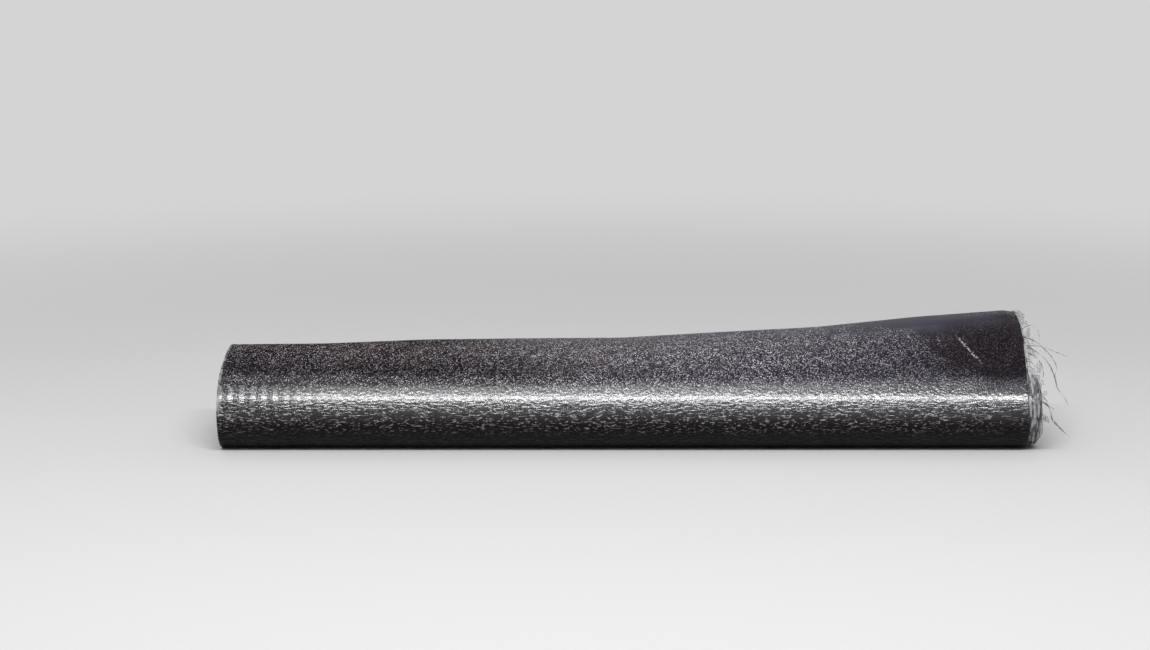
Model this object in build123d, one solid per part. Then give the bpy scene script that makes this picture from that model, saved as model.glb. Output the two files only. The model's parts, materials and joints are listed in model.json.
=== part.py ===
"""Loose roll of torch-on roofing felt, lying on its side as it is unrolled.

The roll is one strip of felt, wound with its film face outwards. A tight coil with
a bore fills the front of the roll. Round the coil the strip slackens into two loose
turns, each reaching further back than the one inside it. The outer turn leaves the
front bend and rises into a crest, low at the left end and high at the right end. It
comes down at the back and lands on the tail, the strip's flat outer end on the floor.
The turns have slipped along the roll: at the right end the coil stands out past the
loose turns, and at the left end it lies inside them.

Frame, in millimetres: X along the roll, with the high crest at +X, Y towards the
back, Z up. The origin is on the floor, under the middle of the roll's box.
"""

import math
import os

from build123d import *

# The strip of felt
felt_width = 1000.0
felt_thickness = 4.0

# The tight coil
bore_radius = 19.0
coil_turns = 5

# The inner loose turn
inner_slack = 50.0  # clear space between the coil and this turn's back bend
inner_bend_radius = 34.0  # film face of its back bend

# The outer loose turn
outer_slack = 63.0  # clear space between the inner turn and this turn's back bend
left_crest_rise = 15.0  # crest above the top of the front bend, at the left end
right_crest_rise = 60.0  # and at the right end
crest_setback = 55.0  # from the back bend forward to the crest
landing_setback = 54.0  # from the back bend forward to where it lands on the tail
leave_angle = 40.0  # above the axis, where this turn leaves the round front bend
shoulder_reach = 8.0  # from the coil's axis back to the shoulder of the rise
shoulder_share = 0.61  # share of the crest's rise that the shoulder has
shoulder_drop = 4.7  # shoulder below the top of the front bend where nothing rises
shoulder_run = 65.0  # run over which the shoulder's slope would climb the whole rise
tail_overhang = 40.0  # tail left showing behind the back bend
bedding = 0.3  # how far the landed felt has sunk into the warm tail

# Slip of the turns along the roll
inner_turn_slip = 12.0  # inner loose turn past the outer one
coil_slip = 3.0  # coil past the inner loose turn

# The turns as they show on the ends
groove_width = 0.8
groove_depth = 12.0
groove_start = 1.0  # turns from the coil's outside to where its groove starts
groove_end = 0.5  # and from where it ends to the bore

# Radii of the layers round the coil's axis
coil_radius = bore_radius + coil_turns * felt_thickness
inner_turn_radius = coil_radius + felt_thickness
front_radius = inner_turn_radius + felt_thickness

# Distances back from the coil's axis
inner_back = coil_radius + inner_slack + felt_thickness
outer_back = inner_back + outer_slack + felt_thickness
crest_reach = outer_back - crest_setback
landing_reach = outer_back - landing_setback
tail_reach = outer_back + tail_overhang

# Heights above the floor
axis_height = front_radius
front_top = 2 * front_radius
tail_top = felt_thickness - bedding
run_top = tail_top + felt_thickness

# Places of the turns in the frame
axis_y = (front_radius - tail_reach) / 2
full_slip = inner_turn_slip + coil_slip
outer_turn_x = -full_slip / 2
inner_turn_x = outer_turn_x + inner_turn_slip
coil_x = inner_turn_x + coil_slip

crest_stations = 5  # cross-sections from the left end to the right end
handle_share = 0.39  # curve handles of those sections, as a share of each chord

end_view = Plane((0, axis_y, 0), x_dir=(0, 1, 0), z_dir=(1, 0, 0))


def across_the_width(section, middle_x):
    """A section, drawn back from the coil's axis and up, over the felt's whole width."""
    return Pos(middle_x, 0, 0) * extrude(end_view * section, felt_width / 2, both=True)


def felt_run(start, end, bottom):
    """A flat run of felt between two distances back from the coil's axis."""
    middle = Pos((start + end) / 2, bottom + felt_thickness / 2)
    return middle * Rectangle(end - start, felt_thickness)


def front_bend():
    """Part ring of the outer turn round the front, from the floor to where it leaves."""
    leave = 180 - leave_angle
    film_face = CenterArc((0, 0), front_radius, leave, 270 - leave)
    granule_face = CenterArc((0, 0), inner_turn_radius, leave, 270 - leave)
    start = Line(film_face @ 0, granule_face @ 0)
    end = Line(film_face @ 1, granule_face @ 1)
    return Pos(0, axis_height) * make_face([film_face, granule_face, start, end])


def crest_rise(x):
    """Height of the crest above the front bend at x: it climbs slowly, then faster."""
    share = (x - outer_turn_x) / felt_width + 0.5
    return left_crest_rise + (right_crest_rise - left_crest_rise) * share**2


def loose_face(x, inset):
    """One face of the outer turn over the top and down the back, inset from the film."""
    rise = crest_rise(x)
    leave = math.radians(leave_angle)
    leave_height = axis_height + front_radius * math.sin(leave)
    shoulder_height = front_top - shoulder_drop + shoulder_share * rise
    knots = [  # distance back, height, heading of the felt
        (-front_radius * math.cos(leave), leave_height, math.pi / 2 - leave),
        (shoulder_reach, shoulder_height, math.atan(rise / shoulder_run)),
        (crest_reach, front_top + rise, 0),
        (outer_back, (front_top + rise) / 2, math.radians(-90)),
        (landing_reach, tail_top, math.radians(-180)),
    ]
    points = []
    headings = []
    for back, height, heading in knots:
        inwards = Vector(0, math.sin(heading), -math.cos(heading)) * inset
        points.append(Vector(x, axis_y + back, height) + inwards)
        headings.append(Vector(0, math.cos(heading), math.sin(heading)))
    curves = []
    for n in range(len(knots) - 1):
        handle = (points[n + 1] - points[n]).length * handle_share
        curves.append(
            Bezier(
                points[n],
                points[n] + headings[n] * handle,
                points[n + 1] - headings[n + 1] * handle,
                points[n + 1],
            )
        )
    return Wire(curves)


def loose_section(x):
    """Closed outline of the outer turn at x, from the front bend to the landing."""
    film_face = loose_face(x, 0)
    granule_face = loose_face(x, felt_thickness)
    edges = film_face.edges() + granule_face.edges()
    edges.append(Line(film_face @ 0, granule_face @ 0))
    edges.append(Line(film_face @ 1, granule_face @ 1))
    return make_face(edges)


def outer_turn():
    """The outer loose turn with the tail it lands on."""
    left_x = outer_turn_x - felt_width / 2
    spacing = felt_width / (crest_stations - 1)
    sections = [loose_section(left_x + spacing * n) for n in range(crest_stations)]
    loose = loft(sections, ruled=True)
    tail = felt_run(0, tail_reach, 0)
    landed = felt_run(0, landing_reach, tail_top)
    return loose + across_the_width(front_bend() + tail + landed, outer_turn_x)


def inner_turn():
    """The inner loose turn: a belt round the coil to a smaller bend, and its run forward."""
    bend_reach = inner_back - inner_bend_radius

    def belt(inset):
        front = Pos(0, axis_height) * Circle(inner_turn_radius - inset)
        back_centre = Pos(bend_reach, run_top + inner_bend_radius)
        back = back_centre * Circle(inner_bend_radius - inset)
        return make_hull(front.edges() + back.edges())

    run = felt_run(0, bend_reach, run_top)
    return across_the_width(belt(0) - belt(felt_thickness) + run, inner_turn_x)


def coil():
    """The tight coil, turned about its axis with its bore."""
    middle = Pos((bore_radius + coil_radius) / 2, coil_x)
    wall = middle * Rectangle(coil_radius - bore_radius, felt_width)
    axis = Axis((0, axis_y, axis_height), (1, 0, 0))
    level = Plane(axis.position, x_dir=(0, 1, 0), z_dir=(0, 0, -1))
    return revolve(level * wall, axis)


def turn_line(side):
    """Spiral between the coil's turns, moved out by side, as half circles from outside in.

    Half circles round the front, about the coil's axis, take turns with half circles
    round the back, whose centre lies half a felt thickness higher, so that they meet.
    """
    halves = []
    radius = coil_radius - groove_start * felt_thickness + side
    for n in range(int(2 * (coil_turns - groove_start - groove_end))):
        round_the_front = n % 2 == 0
        centre = 0 if round_the_front else felt_thickness / 2
        start = -90 if round_the_front else 90
        halves.append(CenterArc((0, centre), radius, start, -180))
        radius -= felt_thickness / 2
    return Wire(halves)


def coil_grooves():
    """Grooves that show the coil's turns on both of its ends."""
    outer_edge = turn_line(groove_width / 2)
    inner_edge = turn_line(-groove_width / 2)
    groove = Pos(0, axis_height) * make_face(
        [
            outer_edge,
            inner_edge,
            Line(outer_edge @ 0, inner_edge @ 0),
            Line(outer_edge @ 1, inner_edge @ 1),
        ]
    )
    cut = extrude(end_view * groove, groove_depth)
    left_end = coil_x - felt_width / 2
    right_end = coil_x + felt_width / 2
    return Pos(left_end, 0, 0) * cut + Pos(right_end - groove_depth, 0, 0) * cut


def landing_grooves():
    """Slits that show where the outer turn lies on its tail, at both ends."""
    slit = Pos(landing_reach / 2, tail_top) * Rectangle(landing_reach, groove_width)
    cut = extrude(end_view * slit, groove_depth)
    left_end = outer_turn_x - felt_width / 2
    right_end = outer_turn_x + felt_width / 2
    return Pos(left_end, 0, 0) * cut + Pos(right_end - groove_depth, 0, 0) * cut


def felt_roll():
    """The whole roll as one piece of felt."""
    wound = outer_turn() + inner_turn() + (coil() - coil_grooves())
    return wound - landing_grooves()


os.makedirs("parts", exist_ok=True)
export_step(felt_roll(), "parts/felt_roll.step")
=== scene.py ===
"""Looks of the loose roll of roofing felt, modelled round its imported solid.

Sizes are in metres. X runs along the roll, Y towards the back, Z up. The strip of felt is
followed from its tail: round the front, over the crest, down the back, forward along the
floor, round again as the inner turn, forward again, and into the coil. Its film face
looks outwards and its granule face inwards.
"""

import json
import math
import random

import bpy
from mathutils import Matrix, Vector, noise as chance

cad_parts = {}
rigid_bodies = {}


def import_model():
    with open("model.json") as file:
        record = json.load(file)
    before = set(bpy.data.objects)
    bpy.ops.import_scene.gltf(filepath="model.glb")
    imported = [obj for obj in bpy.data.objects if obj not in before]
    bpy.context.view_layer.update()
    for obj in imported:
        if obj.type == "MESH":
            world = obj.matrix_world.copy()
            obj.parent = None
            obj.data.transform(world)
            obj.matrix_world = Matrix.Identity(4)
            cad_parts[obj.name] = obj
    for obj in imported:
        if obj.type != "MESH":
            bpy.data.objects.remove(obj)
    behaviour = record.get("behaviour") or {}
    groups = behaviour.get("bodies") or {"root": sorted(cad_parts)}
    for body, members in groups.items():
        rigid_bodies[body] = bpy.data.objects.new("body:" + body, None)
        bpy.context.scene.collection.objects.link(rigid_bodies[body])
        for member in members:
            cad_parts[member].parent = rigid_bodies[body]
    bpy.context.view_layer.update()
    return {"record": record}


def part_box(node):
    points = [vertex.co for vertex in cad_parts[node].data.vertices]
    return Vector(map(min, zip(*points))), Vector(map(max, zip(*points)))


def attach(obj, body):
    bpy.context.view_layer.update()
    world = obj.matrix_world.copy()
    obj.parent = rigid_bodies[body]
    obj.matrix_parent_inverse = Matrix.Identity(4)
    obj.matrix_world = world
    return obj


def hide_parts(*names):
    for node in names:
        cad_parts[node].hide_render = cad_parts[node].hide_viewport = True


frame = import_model()
roll_low, roll_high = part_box("felt_roll")
bore = next(m for m in frame["record"]["mounts"] if m["name"] == "carry_bore")

mm = 0.001

# The strip of felt
felt_width = bore["dims"]["length_mm"] * mm
layer = 4 * mm  # from one layer to the next
felt = 3.5 * mm  # thickness as modelled, which leaves a dark line between the layers

# The layers round the coil's axis
axis_y, axis_z = bore["pos_m"][1:]
front_radius = axis_z
inner_radius = front_radius - layer
coil_radius = inner_radius - layer

# Middles of the turns along the roll, and how far they have slipped past one another
outer_x = roll_low.x + felt_width / 2
coil_x = bore["pos_m"][0]
inner_slip = 12 * mm
coil_slip = 3 * mm
left_edge = outer_x - felt_width / 2
right_edge = outer_x + felt_width / 2

# The outer turn, as distances back from the coil's axis and heights
left_crest_rise = 15 * mm
right_crest_rise = 60 * mm
crest_reach = 105 * mm
leave_angle = math.radians(40)
shoulder_reach = 8 * mm
shoulder_share = 0.61
shoulder_drop = 4.7 * mm
shoulder_run = 65 * mm
outer_back = 160 * mm
landing_reach = 106 * mm
tail_reach = roll_high.y - axis_y
crest_waves = (0, 1, 4, 2, -2, -1, -2, 2, 1)  # millimetres, at the sections from left to right

ripple_start = 3 * mm  # from the left edge to the first ring
ripple_spacing = 13.8 * mm
ripple_reach = 85 * mm
ripple_height = 0.7 * mm
ripple_foot = 5 * mm  # height below which there are no rings

wrinkle_size = 4.5 * mm
wrinkle_stretch = 3.0
wrinkle_height = 0.7 * mm
wrinkles_begin = (0.002, 0.008)  # heights on the front
wrinkles_end = (0.075, 0.045)

# The inner turn
inner_back = 93 * mm
inner_bend_radius = 34 * mm
inner_run_height = 2 * layer - 0.3 * mm

# The coil
coil_halves = 9  # half turns from the coil's outside to its bore
turn_slip = 3.0 * mm  # of its turns past one another at its ends
slip_reach = 64 * mm  # from its ends inwards, over which the slip fades
slip_beat = 2.3  # radians that the slip swings through from one turn to the next

# The felt's cut edges
edge_round = 0.8 * mm
carrier_inset = 0.4 * mm
carrier_depth = 0.35 * mm
edge_wander = 1.2 * mm
wander_size = 28 * mm
wander_reach = 12 * mm  # from the edge inwards
lap_width = 80 * mm  # smooth strip along the right edge of the granule face

# The pulled corner at the right
crease_start = (0.410, 0.134)  # along the roll, and height
crease_end = (0.440, 0.104)
crease_width = 7 * mm
crease_height = 1.6 * mm
corner_reach = 14 * mm
corner_droop = 2.4 * mm
corner_heights = (0.125, 0.150)  # heights between which it comes in

# Torn film at the right end
film_thickness = 0.12 * mm
fringe_lines = 5  # drawn along each fringe, to span its sheet between them
fringe_lift = 0.5 * mm  # clear of the felt that it clings to
wide_fringe = 16 * mm  # a fringe torn off this wide has this sag and this crumple:
fringe_sag = 4 * mm
fringe_crumple = 9 * mm
fringe_foot = 35 * mm  # height below which it narrows to nothing
fringe_top = (0.090, 0.130)  # heights between which it narrows to half
rag_waves = 70  # in its torn outline, per metre
rag_depth = 0.55  # of those waves, as a share of its width
slit_waves = 200  # in the pattern of its slits, per metre
slit_level = 0.2  # of that pattern, above which the film is gone
whole_share = 0.08  # of its width, which no slit reaches into
short_strands = 34
short_length = (4, 14)  # millimetres
short_half_width = (0.15, 0.45)  # millimetres
long_strands = (  # points in millimetres, half width in millimetres, twist
    (
        (
            (491, -45, 143), (499, -50, 148), (505, -55, 149),
            (510, -60, 141), (510, -65, 131), (507, -70, 124),
        ),
        0.5,
        4,
    ),
    (
        (
            (492, -55, 135), (506, -60, 130), (518, -65, 120),
            (528, -70, 108), (531, -75, 99), (528, -80, 89),
        ),
        0.9,
        5,
    ),
    (
        (
            (493, -66, 126), (507, -70, 118), (520, -75, 106), (528, -80, 89),
            (532, -85, 74), (539, -90, 65), (543, -95, 57),
        ),
        1.0,
        6,
    ),
    (
        ((493, -75, 119), (506, -80, 112), (512, -85, 101), (512, -90, 91), (509, -90, 85)),
        0.9,
        5,
    ),
    (
        (
            (503, -119, 67), (512, -119, 62), (517, -119, 55), (520, -119, 43),
            (526, -119, 36), (535, -119, 27), (543, -118, 20),
        ),
        1.7,
        5,
    ),
    (((503, -118, 72), (511, -116, 68), (516, -114, 60), (523, -112, 54)), 0.7, 3),
    (((495, -66, 126), (515, -66, 124), (530, -66, 118), (546, -66, 112)), 0.5, 4),
)

# Patches on the film
lens_centre = (0.36, -0.005, 0.150)  # a smooth patch under the crest, coloured with a painted reflection of the sky
lens_radii = (0.12, 0.058, 0.033)
lens_edge = 0.6  # how softly the patch ends
corner_centre = (0.46, -0.05, 0.122)  # a patch of painted dark reflection on the pulled corner
corner_radii = (0.13, 0.12, 0.060)
corner_edge = 0.5
patch_sway = (0.16, 0.08, 0.03)  # unevenness of their outlines
sway_size = 45 * mm

# The film, as heights between which each change happens
# painted shade near the floor fades out between these heights
bottom_shade_ends = (0.025, 0.075)
# painted highlights on the wave flanks come in between these heights
flank_highlights_begin = (0.013, 0.056)
waves_end = (0.057, 0.070)
# pale speckles and painted glints come in between these heights
specks_and_glints_begin = (0.052, 0.072)
# a band of painted shade above the front, where the pale speckles and glints are thinned
shade_band_begins = (0.088, 0.096)
shade_band_ends = (0.099, 0.110)
# dust near the crest, with a painted brown reflection of the surroundings
dust_and_reflection_begins = (0.090, 0.116)
gloss_begins = (0.034, 0.060)
gloss_ends = (0.078, 0.096)
coat_begins = (0.036, 0.058)
coat_ends = (0.080, 0.096)
rings_begin = (0.046, 0.062)
rings_end = (0.078, 0.092)

# The film, as places along the roll between which each change happens
# the film's black turns violet along here, a painted reflection of a violet haze
violet_reflection_begins = (-0.2, 0.2)
# dust and painted brown reflection, strongest on the left
dust_and_reflection_ends = (-0.1, 0.25)
sparse_left = (-0.3, 0.0)  # fewer of the pale speckles and painted glints are strong on the left of this
faint_left = (-0.25, 0.05)  # pale speckles and painted glints are a little fainter on the left
faint_right = (0.15, 0.42)  # and much fainter on the right
thinned_left = (-0.2, 0.1)  # the band of painted shade, where pale speckles and glints are thinned, is plainer on the left
dull_left = (-0.25, 0.10)  # above the front there is no gloss on the left
calm_right = (right_edge - 90 * mm, right_edge - 15 * mm)  # flatter relief on the right

# The film's colours
# The film's black is browner on the left and violet on the right: painted reflections of the surroundings
left_black = (0.008, 0.006, 0.007, 1)
right_black = (0.010, 0.008, 0.016, 1)
# painted dark reflection on the pulled corner
dark_reflection_black = (0.009, 0.006, 0.008, 1)
# darker and browner near the floor: painted shade
bottom_shade_black = (0.0068, 0.0048, 0.0050, 1)
# dust, and a painted brown reflection of the surroundings
brown_dust_and_reflection = (0.044, 0.031, 0.028, 1)
# painted highlights on the flanks of the waves
dash_highlight_grey = (0.41, 0.40, 0.43, 1)
# painted highlight along the crease
crease_glint_grey = (0.42, 0.40, 0.42, 1)
# painted reflection of the sky on the smooth patch under the crest
sky_reflection_violet = (0.031, 0.027, 0.042, 1)
# colours of the pale speckles, which are partly painted glints
blue_glint = (0.80, 0.80, 0.94, 1)
pink_glint = (0.94, 0.84, 0.88, 1)

# The film's pattern
wave_size = 2.4 * mm
wave_stretch = 4.2  # along the roll
wave_depth = 1.5 * mm
pebble_size = 3.0 * mm
pebble_depth = 0.65 * mm
coat_depth = 0.12 * mm  # of the pebbles as they show in the clear coat
crumb_size = 1.3 * mm
crumb_depth = 0.2 * mm
speck_size = 1.1 * mm
cluster_size = 16 * mm  # of the places where there are more specks
drift_size = 60 * mm  # of the patches of dust

# The granule face, the cut edges and the torn film
stone_size = 1.3 * mm
stone_depth = 0.6 * mm
dark_stone = (0.07, 0.055, 0.048, 1)
pale_stone = (0.30, 0.25, 0.21, 1)
dark_lap = (0.012, 0.012, 0.014, 1)
pale_lap = (0.045, 0.040, 0.036, 1)
dark_bitumen = (0.008, 0.008, 0.009, 1)
pale_bitumen = (0.028, 0.026, 0.025, 1)
dark_carrier = (0.020, 0.018, 0.016, 1)
pale_carrier = (0.200, 0.180, 0.150, 1)
thin_film = (0.14, 0.14, 0.155, 1)
folded_film = (0.40, 0.40, 0.42, 1)
crumple_size = 2.6 * mm

# Granules standing proud on the tail
patches_along = 20
patches_deep = 2
grains_to_a_patch = 60
grain_radius = (0.45, 0.85)  # millimetres

# How finely the felt is modelled
rows_to_a_bend = 12
columns_between_sections = 7
inside_share = 0.15  # share of the faces kept on the inside of the outer turn
curl = 0.39  # curve handles as a share of each chord
spin_steps = 24
tail_cuts = 60
end_steps = [0.0, 3 * mm, 8 * mm, 16 * mm, 32 * mm, 64 * mm, 128 * mm, 256 * mm]


# Handling


def only(*chosen):
    """Selects these objects and nothing else."""
    if bpy.context.object and bpy.context.object.mode != "OBJECT":
        bpy.ops.object.mode_set(mode="OBJECT")
    bpy.ops.object.select_all(action="DESELECT")
    for obj in chosen:
        obj.select_set(True)
    bpy.context.view_layer.objects.active = chosen[0]


def edit_edges(obj, wanted):
    """Opens obj for editing with only those edges selected whose two ends are wanted."""
    only(obj)
    bpy.ops.object.mode_set(mode="EDIT")
    bpy.ops.mesh.select_mode(type="EDGE")
    bpy.ops.mesh.select_all(action="DESELECT")
    bpy.ops.object.mode_set(mode="OBJECT")
    spots = obj.data.vertices
    for edge in obj.data.edges:
        edge.select = all(wanted(spots[n].co) for n in edge.vertices)
    bpy.ops.object.mode_set(mode="EDIT")


def edit_faces(obj, wanted):
    """Opens obj for editing with only the wanted faces selected."""
    only(obj)
    bpy.ops.object.mode_set(mode="EDIT")
    bpy.ops.mesh.select_mode(type="FACE")
    bpy.ops.mesh.select_all(action="DESELECT")
    bpy.ops.object.mode_set(mode="OBJECT")
    for face in obj.data.polygons:
        face.select = wanted(face)
    bpy.ops.object.mode_set(mode="EDIT")


def work(obj, kind, **settings):
    """Gives obj a modifier with these settings and applies it."""
    only(obj)
    bpy.ops.object.modifier_add(type=kind)
    modifier = obj.modifiers[-1]
    for name, value in settings.items():
        setattr(modifier, name, value)
    bpy.ops.object.modifier_apply(modifier=modifier.name)


def refine(obj, levels):
    work(obj, "SUBSURF", levels=levels, render_levels=levels, boundary_smooth="PRESERVE_CORNERS")


def weigh(obj, name, rule):
    """A vertex group whose weights follow the rule from place to weight."""
    group = obj.vertex_groups.new(name=name)
    for spot in obj.data.vertices:
        weight = rule(spot.co)
        if weight > 0:
            group.add([spot.index], min(weight, 1.0), "REPLACE")
    return name


def emboss(obj, grain, height, stretch=1.0, group="", direction="NORMAL"):
    """Works a grain into the mesh, stretched along the roll."""
    bpy.ops.object.mode_set(mode="OBJECT")
    bpy.ops.object.empty_add(location=(0, 0, 0))
    ruler = bpy.context.object
    ruler.scale = (stretch, 1, 1)
    work(
        obj,
        "DISPLACE",
        texture=grain,
        texture_coords="OBJECT",
        texture_coords_object=ruler,
        direction=direction,
        strength=height,
        mid_level=0.5,
        vertex_group=group,
    )
    bpy.data.objects.remove(ruler)


def raise_by(obj, group, height):
    """Moves the weighted part of obj outwards."""
    work(obj, "DISPLACE", strength=height, mid_level=0, vertex_group=group)


def clouds(name, size, depth=1):
    grain = bpy.data.textures.new(name, "CLOUDS")
    grain.noise_scale = size
    grain.noise_depth = depth
    return grain


def smooth_step(value):
    value = min(max(value, 0.0), 1.0)
    return value * value * (3 - 2 * value)


def share_between(value, start, end):
    """Smooth share of the way that value has come from start to end."""
    return smooth_step((value - start) / (end - start))


def turn_out(sheet, probe, outwards):
    """Turns the sheet's faces over if the one nearest the probe looks inwards."""
    only(sheet)
    bpy.context.view_layer.update()
    normal = sheet.closest_point_on_mesh(Vector(probe))[2]
    if normal.dot(Vector(outwards)) < 0:
        bpy.ops.object.mode_set(mode="EDIT")
        bpy.ops.mesh.select_all(action="SELECT")
        bpy.ops.mesh.flip_normals()
        bpy.ops.object.mode_set(mode="OBJECT")


def dress(piece):
    """Gives a finished piece smooth shading and its place on the part, and hides the imported solid."""
    only(piece)
    bpy.ops.object.shade_smooth_by_angle(angle=math.radians(35))
    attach(piece, "root")
    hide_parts("felt_roll")


# Finishes


def blank_finish(name):
    material = bpy.data.materials.new(name)
    material.use_nodes = True
    tree = material.node_tree
    shader = tree.nodes["Principled BSDF"]
    return material, tree, shader


def node(tree, kind, inputs=None, **settings):
    """Adds a node. An input that is a socket is linked, and any other is set."""
    made = tree.nodes.new(kind)
    for name, value in settings.items():
        setattr(made, name, value)
    for name, value in (inputs or {}).items():
        if isinstance(value, bpy.types.NodeSocket):
            tree.links.new(value, made.inputs[name])
        else:
            made.inputs[name].default_value = value
    return made


def place_on(tree):
    return node(tree, "ShaderNodeTexCoord").outputs["Object"]


def stretched(tree, place, along, deep=1.0, high=1.0):
    """Place with the pattern stretched along the roll, front to back, or upwards."""
    scale = (1 / along, 1 / deep, 1 / high)
    return node(tree, "ShaderNodeMapping", {"Vector": place, "Scale": scale}).outputs[0]


def noise(tree, place, size, detail=2.0, roughness=0.5):
    inputs = {"Vector": place, "Scale": 1 / size, "Detail": detail, "Roughness": roughness}
    return node(tree, "ShaderNodeTexNoise", inputs).outputs[0]


def pebbles(tree, place, size):
    inputs = {"Vector": place, "Scale": 1 / size, "Smoothness": 0.6}
    return node(tree, "ShaderNodeTexVoronoi", inputs, feature="SMOOTH_F1").outputs["Distance"]


def reach(tree, value, low, high, start=0.0, end=1.0):
    """Value from low to high becomes start to end, smoothly."""
    inputs = {0: value, 1: low, 2: high, 3: start, 4: end}
    return node(tree, "ShaderNodeMapRange", inputs, interpolation_type="SMOOTHSTEP").outputs[0]


def patch(tree, place, centre, radii, edge=0.4):
    """A soft spot on the felt: 1 inside, 0 outside."""
    inputs = {"Vector": place, "Location": centre, "Scale": radii}
    local = node(tree, "ShaderNodeMapping", inputs, vector_type="TEXTURE").outputs[0]
    glow = node(tree, "ShaderNodeTexGradient", {"Vector": local}, gradient_type="SPHERICAL").outputs[1]
    return reach(tree, glow, 0.0, edge)


def swayed(tree, place, size, amount):
    """Place swayed by a noise, so that patches on it have uneven outlines."""
    inputs = {"Vector": place, "Scale": 1 / size, "Detail": 3.0}
    sway = node(tree, "ShaderNodeTexNoise", inputs).outputs["Color"]
    middle = node(tree, "ShaderNodeVectorMath", {0: sway, 1: (0.5, 0.5, 0.5)}, operation="SUBTRACT")
    inputs = {0: middle.outputs[0], 1: amount, 2: place}
    return node(tree, "ShaderNodeVectorMath", inputs, operation="MULTIPLY_ADD").outputs[0]


def sums(tree, kind, first, second):
    return node(tree, "ShaderNodeMath", {0: first, 1: second}, operation=kind).outputs[0]


def tint(tree, share, first, second):
    """Mixes two colours by share."""
    return node(tree, "ShaderNodeMix", {0: share, 6: first, 7: second}, data_type="RGBA").outputs[2]


def bump(tree, height, depth, under=None, strength=1.0):
    inputs = {"Height": height, "Distance": depth, "Strength": strength}
    if under:
        inputs["Normal"] = under
    return node(tree, "ShaderNodeBump", inputs).outputs[0]


def specks_and_glints(tree, place, size, low, high, rarity):
    """Pale speckles in cells of that size, partly painted glints, the strong ones rare, and a share to tint
    them by.
    """
    cells = node(tree, "ShaderNodeTexVoronoi", {"Vector": place, "Scale": 1 / size})
    spot = reach(tree, cells.outputs["Distance"], low, high, 1.0, 0.0)
    strength, hue = node(tree, "ShaderNodeSeparateColor", {0: cells.outputs["Color"]}).outputs[:2]
    return sums(tree, "MULTIPLY", spot, sums(tree, "POWER", strength, rarity)), hue


def product(tree, *factors):
    whole = factors[0]
    for factor in factors[1:]:
        whole = sums(tree, "MULTIPLY", whole, factor)
    return whole


def ring_zones(tree, length, height):
    """Two shares on the front near the left end: on the tops of the rings, and between them."""
    from_edge = sums(tree, "SUBTRACT", length, left_edge + ripple_start)
    turns = sums(tree, "MULTIPLY", from_edge, math.tau / ripple_spacing)
    top = reach(tree, sums(tree, "COSINE", turns, 0), -0.5, 0.9)
    zone = product(
        tree,
        reach(tree, height, *rings_begin),
        reach(tree, height, *rings_end, 1.0, 0.0),
        reach(tree, from_edge, 0, 2.2 * ripple_reach, 1.0, 0.0),
    )
    return product(tree, top, zone), product(tree, sums(tree, "SUBTRACT", 1.0, top), zone)


def crease_glint_line(tree, length, height, sway):
    """Share of the painted highlight along the crease."""
    start, end = Vector(crease_start), Vector(crease_end)
    across = (end - start).normalized().orthogonal()
    aside = sums(
        tree,
        "ADD",
        sums(tree, "MULTIPLY", length, across.x),
        sums(tree, "MULTIPLY", height, across.y),
    )
    aside = sums(tree, "SUBTRACT", aside, start.dot(across))
    aside = sums(tree, "ADD", aside, sums(tree, "MULTIPLY", sums(tree, "SUBTRACT", sway, 0.5), 5 * mm))
    line = reach(tree, sums(tree, "ABSOLUTE", aside, 0), 0.4 * mm, 1.5 * mm, 1.0, 0.0)
    begun = reach(tree, length, start.x - 4 * mm, start.x + 6 * mm)
    ended = reach(tree, length, end.x - 14 * mm, end.x, 1.0, 0.0)
    return product(tree, line, begun, ended)


def film_ground(tree, place, length, height, corner):
    """The bare film's black: darker and browner low down as painted shade near the floor, violet to the right
    and dark on the corner as painted reflections, with dust and a painted brown reflection near the crest.
    """
    # painted violet reflection towards the right
    black = tint(tree, reach(tree, length, *violet_reflection_begins), left_black, right_black)
    # painted dark reflection on the corner
    black = tint(tree, corner, black, dark_reflection_black)
    # painted shade near the floor
    black = tint(tree, reach(tree, height, *bottom_shade_ends), bottom_shade_black, black)
    # patches of dust near the crest, which also carry a painted brown reflection
    drift = reach(tree, noise(tree, place, drift_size, 4.0, 0.6), 0.35, 0.70)
    high = reach(tree, height, *dust_and_reflection_begins)
    leftwards = reach(tree, length, *dust_and_reflection_ends, 0.7, 0.15)
    return tint(tree, product(tree, drift, high, leftwards), black, brown_dust_and_reflection)


def wave_flank_highlights(tree, place, height, wave, low_down, calm):
    """Share of the painted highlights on the flanks of the waves, pale and dash-like."""
    flank = sums(tree, "ABSOLUTE", sums(tree, "SUBTRACT", wave, 0.52), 0)
    line = reach(tree, flank, 0.006, 0.038, 1.0, 0.0)
    broken = reach(tree, noise(tree, stretched(tree, place, 2.6), wave_size, 1.0), 0.44, 0.58)
    return product(tree, line, broken, low_down, calm, reach(tree, height, *flank_highlights_begin))


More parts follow.
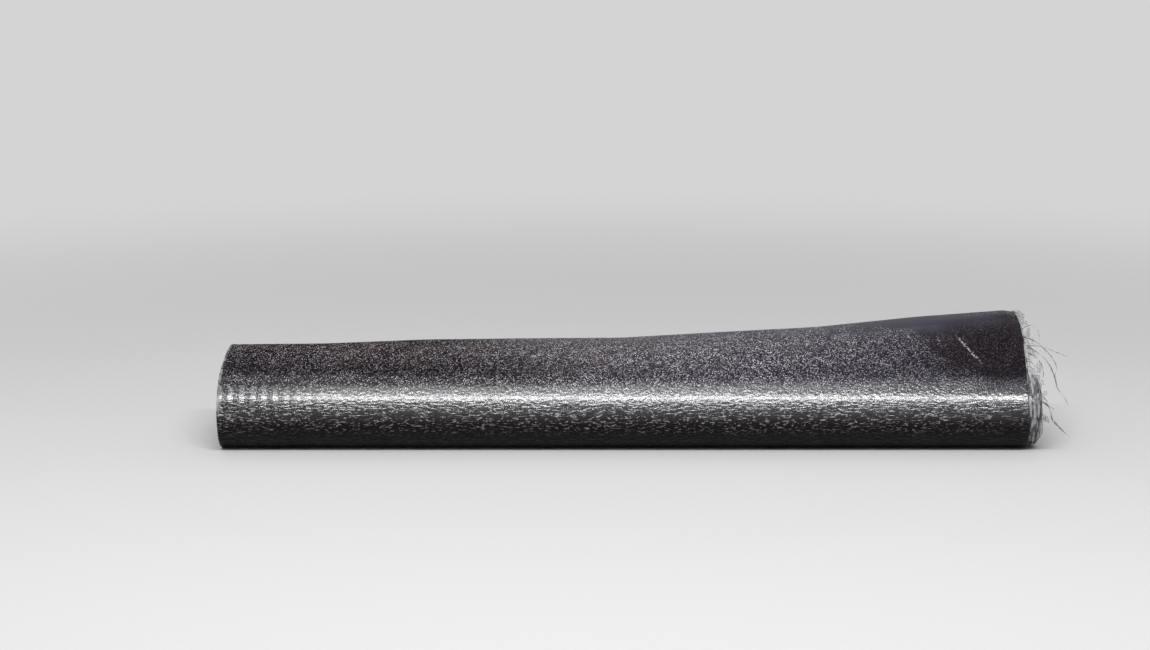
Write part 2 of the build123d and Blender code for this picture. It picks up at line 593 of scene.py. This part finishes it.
def film_specks_and_glints(tree, place, length, height, plain, corner):
    """Share of the pale speckles and painted glints on the film, and a share to tint them by."""
    rarity = reach(tree, length, *sparse_left, 3.6, 2.2)
    grain, hue = specks_and_glints(tree, stretched(tree, place, 1.3, 1.7), speck_size, 0.28, 0.60, rarity)
    cluster = reach(tree, noise(tree, place, cluster_size, 1.0), 0.35, 0.62, 0.65, 1.0)
    strength = product(
        tree,
        reach(tree, length, *faint_left, 0.9, 1.0),
        reach(tree, length, *faint_right, 1.0, 0.5),
        reach(tree, height, *specks_and_glints_begin),
    )
    # painted shade: a band above the front where fewer pale speckles and glints show
    shade_band = product(
        tree,
        reach(tree, height, *shade_band_begins),
        reach(tree, height, *shade_band_ends, 1.0, 0.0),
    )
    thinned = reach(tree, shade_band, 0.0, 1.0, 1.0, reach(tree, length, *thinned_left, 0.6, 0.8))
    # fewer pale speckles and glints on the corner, part of its painted dark reflection
    fewer = reach(tree, corner, 0.0, 1.0, 1.0, 0.2)
    return product(tree, grain, cluster, strength, plain, fewer, thinned), hue


def film_gloss(tree, shader, length, height, corner, troughs):
    """Shine of the film and of its clear coat, which is best on the front and dull on the corner."""
    dullest = reach(tree, length, *dull_left, 0.0, 0.25)
    shine = product(
        tree,
        reach(tree, height, *gloss_begins, 0.08, 0.55),
        reach(tree, height, *gloss_ends, 1.0, dullest),
        reach(tree, corner, 0.0, 1.0, 1.0, 0.25),
        reach(tree, troughs, 0.0, 1.0, 1.0, 0.5),
    )
    tree.links.new(shine, shader.inputs["Specular IOR Level"])
    coat = product(
        tree,
        reach(tree, height, *coat_begins),
        reach(tree, height, *coat_ends, 1.0, 0.0),
        reach(tree, corner, 0.0, 1.0, 1.0, 0.3),
        reach(tree, troughs, 0.0, 1.0, 0.9, 0.15),
    )
    tree.links.new(coat, shader.inputs["Coat Weight"])


def film_finish():
    """Glossy burn-off film, pebbled all over, with waves low down and pale speckles above them that are
    partly painted glints; its colour also holds painted highlights, reflections and shade.
    """
    material, tree, shader = blank_finish("felt_film")
    place = place_on(tree)
    along = stretched(tree, place, 1.6, 1.8)
    length, back, height = node(tree, "ShaderNodeSeparateXYZ", {0: place}).outputs[:3]
    uneven = swayed(tree, place, sway_size, patch_sway)
    lens = patch(tree, uneven, lens_centre, lens_radii, lens_edge)
    # corner: a patch of painted dark reflection
    corner = patch(tree, uneven, corner_centre, corner_radii, corner_edge)
    rings, troughs = ring_zones(tree, length, height)
    plain = sums(tree, "SUBTRACT", 1.0, lens)
    calm = reach(tree, length, *calm_right, 1.0, 0.4)
    low_down = reach(tree, height, *waves_end, 1.0, 0.0)

    wave = noise(tree, stretched(tree, place, wave_stretch), wave_size, 1.5)
    pebble = pebbles(tree, along, pebble_size)
    crumb = noise(tree, along, crumb_size)
    relief = product(tree, plain, calm, reach(tree, rings, 0.0, 1.0, 1.0, 0.35))
    waves = bump(tree, wave, wave_depth, strength=low_down)
    large = bump(tree, pebble, pebble_depth, under=waves, strength=relief)
    fine = bump(tree, crumb, crumb_depth, under=large, strength=relief)
    tree.links.new(fine, shader.inputs["Normal"])
    tree.links.new(bump(tree, pebble, coat_depth, under=waves), shader.inputs["Coat Normal"])

    # painted highlights on the flanks of the waves
    flank_highlights = wave_flank_highlights(tree, place, height, wave, low_down, calm)
    colour = tint(tree, flank_highlights, film_ground(tree, place, length, height, corner), dash_highlight_grey)
    rising = reach(tree, back, axis_y + 0.5 * crest_reach, axis_y + crest_reach, 1.0, 0.0)
    crumbled = reach(tree, crumb, 0.42, 0.60)
    # painted highlight along the crease, broken up by the crumbs
    crease_glint = product(tree, crease_glint_line(tree, length, height, wave), crumbled, rising)
    colour = tint(tree, crease_glint, colour, crease_glint_grey)
    # painted violet reflection of the sky on the smooth patch
    colour = tint(tree, lens, colour, sky_reflection_violet)
    # pale speckles, partly painted glints
    grains, hue = film_specks_and_glints(tree, place, length, height, plain, corner)
    colour = tint(tree, grains, colour, tint(tree, hue, blue_glint, pink_glint))
    tree.links.new(colour, shader.inputs["Base Color"])

    film_gloss(tree, shader, length, height, corner, troughs)
    rough_skin = noise(tree, place, 30 * mm, 3.0)
    tree.links.new(reach(tree, rough_skin, 0.3, 0.7, 0.17, 0.24), shader.inputs["Roughness"])
    tree.links.new(reach(tree, rings, 0.0, 1.0, 0.25, 0.29), shader.inputs["Coat Roughness"])
    return material


def granule_finish():
    """Mineral granules pressed into bitumen, with the bare lap strip at the right edge."""
    material, tree, shader = blank_finish("felt_granules")
    place = place_on(tree)
    inputs = {"Vector": place, "Scale": 1 / stone_size}
    grain = node(tree, "ShaderNodeTexVoronoi", inputs)
    shade = node(tree, "ShaderNodeSeparateColor", {0: grain.outputs["Color"]}).outputs[0]
    stone = tint(tree, shade, dark_stone, pale_stone)
    length = node(tree, "ShaderNodeSeparateXYZ", {0: place}).outputs[0]
    border = sums(tree, "ADD", length, sums(tree, "MULTIPLY", noise(tree, place, 9 * mm), 5 * mm))
    lap = reach(tree, border, right_edge - lap_width, right_edge - lap_width + 4 * mm)
    tone = noise(tree, place, 14 * mm, 4.0, 0.6)
    bare = tint(tree, reach(tree, tone, 0.4, 0.7), dark_lap, pale_lap)
    tree.links.new(tint(tree, lap, stone, bare), shader.inputs["Base Color"])
    tree.links.new(reach(tree, lap, 0.0, 1.0, 0.85, 0.32), shader.inputs["Roughness"])
    height = sums(tree, "SUBTRACT", 1.0, grain.outputs["Distance"])
    relief = reach(tree, lap, 0.0, 1.0, 1.0, 0.12)
    tree.links.new(bump(tree, height, stone_depth, strength=relief), shader.inputs["Normal"])
    return material


def bitumen_finish():
    """Bare satin bitumen on the cut edges."""
    material, tree, shader = blank_finish("felt_bitumen")
    place = place_on(tree)
    tone = noise(tree, place, 2 * mm, 3.0)
    colour = tint(tree, tone, dark_bitumen, pale_bitumen)
    tree.links.new(colour, shader.inputs["Base Color"])
    tree.links.new(reach(tree, tone, 0.3, 0.7, 0.35, 0.6), shader.inputs["Roughness"])
    tree.links.new(bump(tree, tone, 0.5 * mm), shader.inputs["Normal"])
    return material


def carrier_finish():
    """The fleece in the middle of the felt, soaked with bitumen, on the cut edges."""
    material, tree, shader = blank_finish("felt_carrier")
    place = place_on(tree)
    fibre = noise(tree, place, 0.8 * mm, 4.0, 0.7)
    colour = tint(tree, reach(tree, fibre, 0.3, 0.7), dark_carrier, pale_carrier)
    tree.links.new(colour, shader.inputs["Base Color"])
    shader.inputs["Roughness"].default_value = 0.9
    tree.links.new(bump(tree, fibre, 0.6 * mm), shader.inputs["Normal"])
    return material


def torn_film_finish(name, thin, folded):
    """Clear film, crumpled where it is torn, with its cover where it lies thin and folded."""
    material, tree, shader = blank_finish(name)
    place = place_on(tree)
    crumple = noise(tree, stretched(tree, place, 1.0, 5.0, 7.0), crumple_size, 1.5)
    colour = tint(tree, reach(tree, crumple, 0.45, 0.62), thin_film, folded_film)
    tree.links.new(colour, shader.inputs["Base Color"])
    tree.links.new(reach(tree, crumple, 0.36, 0.60, thin, folded), shader.inputs["Alpha"])
    tree.links.new(reach(tree, crumple, 0.3, 0.7, 0.18, 0.35), shader.inputs["Roughness"])
    tree.links.new(bump(tree, crumple, 1.0 * mm), shader.inputs["Normal"])
    return material


# The strip of felt


def draw_line(name, knots):
    """A line through knots, each a place and a heading of the felt there."""
    bpy.ops.curve.primitive_bezier_curve_add(location=(0, 0, 0))
    line = bpy.context.object
    line.name = name
    spline = line.data.splines[0]
    spline.bezier_points.add(len(knots) - 2)
    spline.resolution_u = rows_to_a_bend
    for n, (place, heading) in enumerate(knots):
        point = spline.bezier_points[n]
        point.handle_left_type = point.handle_right_type = "FREE"
        behind = (place - knots[max(n - 1, 0)][0]).length
        ahead = (knots[min(n + 1, len(knots) - 1)][0] - place).length
        point.co = place
        point.handle_left = place - heading * behind * curl
        point.handle_right = place + heading * ahead * curl
    bpy.ops.object.convert(target="MESH")
    return bpy.context.object


def span(name, lines, columns):
    """Joins section lines into one sheet of felt."""
    only(*lines)
    bpy.ops.object.join()
    bpy.ops.object.mode_set(mode="EDIT")
    bpy.ops.mesh.select_mode(type="EDGE")
    bpy.ops.mesh.select_all(action="SELECT")
    bpy.ops.mesh.bridge_edge_loops(number_cuts=columns - 1, interpolation="LINEAR")
    bpy.ops.object.mode_set(mode="OBJECT")
    sheet = bpy.context.object
    sheet.name = name
    return sheet


def knot(x, back, height, degrees):
    heading = Vector((0, math.cos(math.radians(degrees)), math.sin(math.radians(degrees))))
    return Vector((x, axis_y + back, height)), heading


def outer_knots(share, wave):
    """The film face of the outer turn at a share of the felt's width from the left."""
    x = left_edge + felt_width * share
    rise = left_crest_rise + (right_crest_rise - left_crest_rise) * share**2 + wave
    top = 2 * front_radius
    leave_height = axis_z + front_radius * math.sin(leave_angle)
    shoulder_height = top - shoulder_drop + shoulder_share * rise
    return [
        knot(x, 0, 0, 180),
        knot(x, -front_radius, axis_z, 90),
        knot(x, -front_radius * math.cos(leave_angle), leave_height, 50),
        knot(x, shoulder_reach, shoulder_height, math.degrees(math.atan(rise / shoulder_run))),
        knot(x, crest_reach, top + rise, 0),
        knot(x, outer_back, (top + rise) / 2, -90),
        knot(x, landing_reach, felt, -180),
        knot(x + inner_slip, 0, felt, -180),
    ]


def thicken(sheet):
    """Gives the felt its thickness inwards, with softened cut edges."""
    sheet.data.materials.clear()
    for finish in (film, granules, bitumen, carrier):
        sheet.data.materials.append(finish)
    work(
        sheet,
        "SOLIDIFY",
        thickness=felt,
        offset=-1,
        use_even_offset=True,
        material_offset=1,
        material_offset_rim=2,
    )
    work(
        sheet,
        "BEVEL",
        width=edge_round,
        segments=2,
        limit_method="ANGLE",
        angle_limit=math.radians(55),
        material=2,
    )
    for side in (-1, 1):
        edit_faces(sheet, lambda face: face.material_index == 2 and face.normal.x * side > 0.94)
        bpy.ops.mesh.inset(thickness=carrier_inset, use_boundary=True)
        bpy.ops.transform.translate(value=(-side * carrier_depth, 0, 0))
        bpy.ops.object.mode_set(mode="OBJECT")
        for face in sheet.data.polygons:
            if face.select:
                face.material_index = 3
    only(sheet)


def left_ripples(spot):
    """Rings round the roll near its left end, fading to the right."""
    from_edge = spot.x - left_edge
    if from_edge > ripple_reach or spot.z < ripple_foot:
        return 0
    fade = (1 - from_edge / ripple_reach) ** 0.7
    return fade * (0.5 + 0.5 * math.cos(math.tau * (from_edge - ripple_start) / ripple_spacing))


def crease(spot):
    """A ridge that runs down from the crest to the right, where the felt is pulled up."""
    start, end, here = Vector(crease_start), Vector(crease_end), Vector((spot.x, spot.z))
    if spot.y > axis_y + crest_reach:
        return 0
    along = (here - start).dot(end - start) / (end - start).length_squared
    aside = abs((here - start).cross((end - start).normalized()))
    return smooth_step(1 - aside / crease_width) * smooth_step(3 - 6 * abs(along - 0.5))


def corner_pull(spot):
    """The high corner at the right end, which hangs a little."""
    outwards = share_between(spot.x, right_edge - corner_reach, right_edge)
    return outwards * share_between(spot.z, *corner_heights)


def wander(sheet, left, right):
    """Lets the two cut edges run a little unevenly."""

    def near_edges(spot):
        return 1 - min(spot.x - left, right - spot.x) / wander_reach

    weigh(sheet, "edges", near_edges)
    emboss(sheet, clouds("unevenness", wander_size, 2), edge_wander, group="edges", direction="X")


def outer_turn():
    """The outer turn from the contact line round the back and forward along the floor."""
    sections = []
    last = len(crest_waves) - 1
    for n, wave in enumerate(crest_waves):
        sections.append(draw_line("section", outer_knots(n / last, wave * mm)))
    sheet = span("outer_turn", sections, columns_between_sections)
    turn_out(sheet, (outer_x, axis_y - front_radius, axis_z), (0, -1, 0))
    refine(sheet, 2)

    def on_front(spot):
        return share_between(spot.z, *wrinkles_end) * share_between(spot.z, *wrinkles_begin)

    weigh(sheet, "lower_front", on_front)
    weigh(sheet, "left_ripples", left_ripples)
    raise_by(sheet, "left_ripples", ripple_height)
    weigh(sheet, "crease", crease)
    raise_by(sheet, "crease", crease_height)
    weigh(sheet, "corner", corner_pull)
    work(sheet, "DISPLACE", direction="Z", strength=-corner_droop, mid_level=0, vertex_group="corner")
    wander(sheet, left_edge, right_edge)
    wrinkle = clouds("wrinkle", wrinkle_size)
    emboss(sheet, wrinkle, wrinkle_height, stretch=wrinkle_stretch, group="lower_front")
    thicken(sheet)
    edit_faces(sheet, lambda face: face.material_index == 1)
    for n in range(3):
        bpy.ops.mesh.select_less()
    bpy.ops.mesh.decimate(ratio=inside_share)
    bpy.ops.object.mode_set(mode="OBJECT")
    return sheet


def inner_knots(x):
    """The film face of the inner turn, from the contact line round to the coil's start."""
    bend_reach = inner_back - inner_bend_radius
    bend_height = inner_run_height + inner_bend_radius
    drop = axis_z - bend_height
    centres = math.hypot(bend_reach, drop)
    lean = math.asin((inner_radius - inner_bend_radius) / centres) + math.atan2(drop, bend_reach)
    out = Vector((math.sin(lean), math.cos(lean)))
    slope = -math.degrees(lean)
    top_back = inner_radius * out.x
    top_height = axis_z + inner_radius * out.y
    bend_back = bend_reach + inner_bend_radius * out.x
    bend_top = bend_height + inner_bend_radius * out.y
    return [
        knot(x, 0, layer, 180),
        knot(x, -inner_radius, axis_z, 90),
        knot(x, top_back, top_height, slope),
        knot(x, bend_back, bend_top, slope),
        knot(x, inner_back, bend_height, -90),
        knot(x, bend_reach, inner_run_height, -180),
        knot(x + coil_slip, 0, inner_run_height, -180),
    ]


def inner_turn():
    """The inner turn, modelled finely only near its two ends, where it shows."""
    left = left_edge + inner_slip
    places = end_steps + [felt_width - d for d in reversed(end_steps)]
    sections = [draw_line("section", inner_knots(left + d)) for d in places]
    sheet = span("inner_turn", sections, 1)
    turn_out(sheet, (outer_x, axis_y - inner_radius, axis_z), (0, -1, 0))
    refine(sheet, 1)
    wander(sheet, left, left + felt_width)
    thicken(sheet)
    return sheet


def coil():
    """The coil: its end line is spun inwards by half turns about two centres in turn."""
    left = coil_x - felt_width / 2
    bpy.ops.mesh.primitive_plane_add(size=1, location=(coil_x, axis_y + layer / 2, axis_z - coil_radius))
    strip = bpy.context.object
    strip.name = "coil"
    strip.scale = (felt_width, layer, 1)
    bpy.ops.object.transform_apply(location=True, rotation=True, scale=True)
    for d in end_steps[1:]:
        for x in (left + d, left + felt_width - d):
            only(strip)
            bpy.ops.object.mode_set(mode="EDIT")
            bpy.ops.mesh.select_all(action="SELECT")
            bpy.ops.mesh.bisect(plane_co=(x, 0, 0), plane_no=(1, 0, 0))
            bpy.ops.object.mode_set(mode="OBJECT")
    edit_edges(strip, lambda spot: spot.y < axis_y + layer / 4)
    for n in range(coil_halves):
        centre = axis_z if n % 2 == 0 else axis_z + layer / 2
        bpy.ops.mesh.spin(
            steps=spin_steps,
            angle=math.pi,
            center=(coil_x, axis_y, centre),
            axis=(1, 0, 0),
        )
    bpy.ops.mesh.select_all(action="SELECT")
    bpy.ops.mesh.remove_doubles(threshold=0.01 * mm)
    bpy.ops.object.mode_set(mode="OBJECT")
    turn_out(strip, (coil_x, axis_y - coil_radius, axis_z), (0, -1, 0))
    wander(strip, left, left + felt_width)

    def slipped(spot):
        out = math.hypot(spot.y - axis_y, spot.z - axis_z)
        near = 1 - min(spot.x - left, left + felt_width - spot.x) / slip_reach
        return near * (0.5 + 0.5 * math.sin(out / layer * slip_beat))

    weigh(strip, "slipped", slipped)
    work(strip, "DISPLACE", direction="X", strength=turn_slip, mid_level=0.5, vertex_group="slipped")
    thicken(strip)
    return strip


def tail():
    """The flat tail under the roll, granules up."""
    bpy.ops.mesh.primitive_plane_add(size=1, location=(outer_x, axis_y + tail_reach / 2, 0))
    sheet = bpy.context.object
    sheet.name = "tail"
    sheet.scale = (felt_width, tail_reach, 1)
    bpy.ops.object.transform_apply(location=True, rotation=True, scale=True)
    bpy.ops.object.mode_set(mode="EDIT")
    bpy.ops.mesh.select_all(action="SELECT")
    bpy.ops.mesh.subdivide(number_cuts=tail_cuts)
    bpy.ops.object.mode_set(mode="OBJECT")
    turn_out(sheet, (outer_x, axis_y, 0), (0, 0, -1))
    thicken(sheet)
    return sheet


# Torn film and loose granules


def film_fringe(name, knots, edge, side, hold, width, ragged):
    """Film torn off along an edge: a thin crumpled sheet with a ragged outline."""
    lines = []
    for n in range(fringe_lines):
        share = n / (fringe_lines - 1)
        out = width * share - hold * (1 - share)
        sag = fringe_sag * (max(out, 0) / wide_fringe) ** 2
        drop = Vector((edge + side * out - knots[0][0].x, 0, -sag))
        lines.append(draw_line("fringe_line", [(place + drop, way) for place, way in knots]))
    sheet = span(name, lines, 2)
    turn_out(sheet, (edge, axis_y - front_radius - 1, axis_z), (0, -1, 0))
    work(sheet, "DISPLACE", strength=fringe_lift, mid_level=0)
    refine(sheet, 1)

    def outwards(spot):
        return (spot.x - edge) * side / width

    weigh(sheet, "loose", outwards)
    crumple = fringe_crumple * width / wide_fringe
    emboss(sheet, clouds("crumple", 9 * mm, 2), crumple, stretch=0.4, group="loose")

    def torn_away(face):
        spot = face.center
        narrow = smooth_step(spot.z / fringe_foot) * (1 - 0.5 * share_between(spot.z, *fringe_top))
        kept = (ragged + rag_depth * chance.noise(Vector((0, spot.y, spot.z)) * rag_waves)) * narrow
        slit = chance.noise(Vector((spot.x, spot.y * 0.4, spot.z * 0.4)) * slit_waves) > slit_level
        return outwards(spot) > kept or (slit and outwards(spot) > whole_share)

    edit_faces(sheet, torn_away)
    bpy.ops.mesh.delete(type="FACE")
    bpy.ops.mesh.select_all(action="SELECT")
    bpy.ops.mesh.delete_loose()
    bpy.ops.object.mode_set(mode="OBJECT")
    sheet.data.materials.clear()
    sheet.data.materials.append(torn_film)
    work(sheet, "SOLIDIFY", thickness=film_thickness, offset=1)
    return sheet


def ribbon(points, half_width, twist):
    """A strand of film through points in millimetres, tapering to its tip."""
    bpy.ops.curve.primitive_bezier_curve_add(location=(0, 0, 0))
    strand = bpy.context.object
    spline = strand.data.splines[0]
    spline.bezier_points.add(len(points) - 2)
    for n, place in enumerate(points):
        point = spline.bezier_points[n]
        point.co = Vector(place) * mm
        point.handle_left_type = point.handle_right_type = "AUTO"
        share = n / (len(points) - 1)
        point.radius = 1 - 0.65 * share**1.5
        point.tilt = twist * share
    strand.data.resolution_u = 8
    strand.data.extrude = half_width
    strand.data.bevel_depth = film_thickness
    strand.data.bevel_resolution = 0
    strand.data.use_fill_caps = True
    bpy.ops.object.convert(target="MESH")
    return bpy.context.object


def strands():
    """Long strands of film that hang off the right end."""
    made = [ribbon(points, width * mm, twist) for points, width, twist in long_strands]
    random.seed(11)
    profile = [place for place, _ in outer_knots(1, 0)[1:5]]
    for n in range(short_strands):
        share = random.random() * (len(profile) - 1.01)
        first = int(share)
        root = profile[first].lerp(profile[first + 1], share - first) / mm
        length = random.uniform(*short_length)
        bend = -length * random.uniform(0.2, 1.1)
        side = random.uniform(-3, 1)
        points = [
            root + Vector((-2, 0, 0)),
            root + Vector((length * 0.5, side * 0.4, bend * 0.3)),
            root + Vector((length, side, bend)),
        ]
        made.append(ribbon(points, random.uniform(*short_half_width) * mm, random.uniform(0, 3)))
    only(*made)
    bpy.ops.object.join()
    whole = bpy.context.object
    whole.name = "film_strands"
    whole.data.materials.clear()
    whole.data.materials.append(film_threads)
    return whole


def loose_granules():
    """Granules standing proud on the tail: a patch is made once and laid down in rows."""
    random.seed(5)
    strip_back = axis_y + landing_reach
    across = (right_edge - lap_width - left_edge) / patches_along
    deep = (roll_high.y - strip_back - 2 * mm) / patches_deep
    grains = []
    for n in range(grains_to_a_patch):
        size = random.uniform(*grain_radius) * mm
        place = (random.uniform(0, across), random.uniform(0, deep), felt + 0.15 * size)
        bpy.ops.mesh.primitive_ico_sphere_add(subdivisions=1, radius=size, location=place)
        grain = bpy.context.object
        grain.scale = (1, random.uniform(0.6, 1), random.uniform(0.5, 0.8))
        grain.rotation_euler = (0, 0, random.uniform(0, math.tau))
        grains.append(grain)
    only(*grains)
    bpy.ops.object.join()
    bpy.ops.object.transform_apply(location=True, rotation=True, scale=True)
    laid = [bpy.context.object]
    for row in range(patches_deep):
        for column in range(patches_along):
            only(laid[0])
            bpy.ops.object.duplicate()
            copy = bpy.context.object
            copy.location = (left_edge + column * across, strip_back + row * deep, 0)
            if (row + column) % 2:
                copy.scale = (-1, 1, 1)
                copy.location.x += across
            laid.append(copy)
    first = laid.pop(0)
    bpy.data.objects.remove(first)
    only(*laid)
    bpy.ops.object.transform_apply(location=True, rotation=True, scale=True)
    bpy.ops.object.join()
    whole = bpy.context.object
    whole.name = "granules_on_tail"
    bpy.ops.object.mode_set(mode="EDIT")
    bpy.ops.mesh.select_all(action="SELECT")
    bpy.ops.mesh.normals_make_consistent(inside=False)
    bpy.ops.object.mode_set(mode="OBJECT")
    whole.data.materials.clear()
    whole.data.materials.append(granules)
    return whole


film = film_finish()
granules = granule_finish()
bitumen = bitumen_finish()
carrier = carrier_finish()
torn_film = torn_film_finish("torn_film", 0.12, 0.55)
film_threads = torn_film_finish("film_threads", 0.55, 0.95)

front = outer_turn()
for piece in (front, inner_turn(), coil()):
    dress(piece)
dress(tail())
dress(loose_granules())
fringes = (  # name, line it follows, edge, side, width that clings, width torn off, raggedness
    ("film_fringe_outer", outer_knots(1, 0)[1:5], right_edge, 1, 2 * mm, 22 * mm, 0.85),
    ("film_fringe_inner", inner_knots(0)[:3], right_edge + inner_slip, 1, 11 * mm, 10 * mm, 0.4),
    ("film_fringe_left", outer_knots(0, 0)[1:5], left_edge, -1, 3 * mm, 0.4 * mm, 0.5),
)
for fringe in fringes:
    dress(film_fringe(*fringe))
dress(strands())


# Floor, light and camera

camera_place = (-0.0672, -3.3886, 0.734)
camera_pitch = 9.94
lens_length = 85
key_distance = 4.0
key_elevation = 49.5
key_size = (3.6, 0.18)
key_watts = 155
low_elevation = 34
low_size = (3.6, 0.4)
low_watts = 17
skirt_elevation = 68
skirt_x = -0.6
skirt_size = (2.5, 1.7)
skirt_watts = 31
top_distance = 5.0
top_elevation = 125
top_size = (6.0, 4.0)
top_watts = 40
floor_reach = 60
fade_reach = (0.6, 2.6)
floor_colour = (0.58, 0.578, 0.572)
far_floor = (0.66, 0.66, 0.665)
sky_colour = (0.80, 0.81, 0.84)
sky_strength = 0.34

only(front)
bpy.ops.mesh.primitive_plane_add(size=floor_reach, location=(0, 0, 0))
floor = bpy.context.object
floor.name = "floor"
paint, floor_tree, floor_shader = blank_finish("pale_floor")
floor_shader.inputs["Base Color"].default_value = (*floor_colour, 1)
floor_shader.inputs["Roughness"].default_value = 0.9
floor.data.materials.append(paint)
from_roll = node(floor_tree, "ShaderNodeVectorMath", {0: place_on(floor_tree)}, operation="LENGTH").outputs[1]
faded = reach(floor_tree, from_roll, *fade_reach)
rays = node(floor_tree, "ShaderNodeLightPath").outputs
seen = sums(floor_tree, "MAXIMUM", rays["Is Camera Ray"], rays["Is Glossy Ray"])
seen = sums(floor_tree, "MAXIMUM", seen, rays["Is Transmission Ray"])
haze = node(floor_tree, "ShaderNodeEmission", {"Color": (*far_floor, 1), "Strength": 1.0}).outputs[0]
blend = {0: sums(floor_tree, "MULTIPLY", faded, seen), 1: floor_shader.outputs[0], 2: haze}
painted = node(floor_tree, "ShaderNodeMixShader", blend).outputs[0]
floor_tree.links.new(painted, floor_tree.nodes["Material Output"].inputs["Surface"])

world = bpy.data.worlds.new("studio")
bpy.context.scene.world = world
world.use_nodes = True
sky = world.node_tree.nodes["Background"]
sky.inputs["Color"].default_value = (*sky_colour, 1)
sky.inputs["Strength"].default_value = sky_strength


def strip_light(name, elevation, distance, size, watts, x=0.0):
    """A long soft light on the camera's side, aimed at the roll."""
    angle = math.radians(elevation)
    place = (x, axis_y - distance * math.cos(angle), axis_z + distance * math.sin(angle))
    bpy.ops.object.light_add(type="AREA", location=place, rotation=(math.pi / 2 - angle, 0, 0))
    light = bpy.context.object
    light.name = name
    light.data.shape = "RECTANGLE"
    light.data.size, light.data.size_y = size
    light.data.energy = watts
    return light


strip_light("key", key_elevation, key_distance, key_size, key_watts)
strip_light("low", low_elevation, key_distance, low_size, low_watts)
strip_light("skirt", skirt_elevation, key_distance, skirt_size, skirt_watts, skirt_x)
strip_light("top", top_elevation, top_distance, top_size, top_watts)

aim = (math.radians(90 - camera_pitch), 0, 0)
bpy.ops.object.camera_add(location=camera_place, rotation=aim)
camera = bpy.context.object
camera.data.lens = lens_length
camera.data.sensor_width = 36
bpy.context.scene.camera = camera
bpy.context.scene.view_settings.view_transform = "Standard"
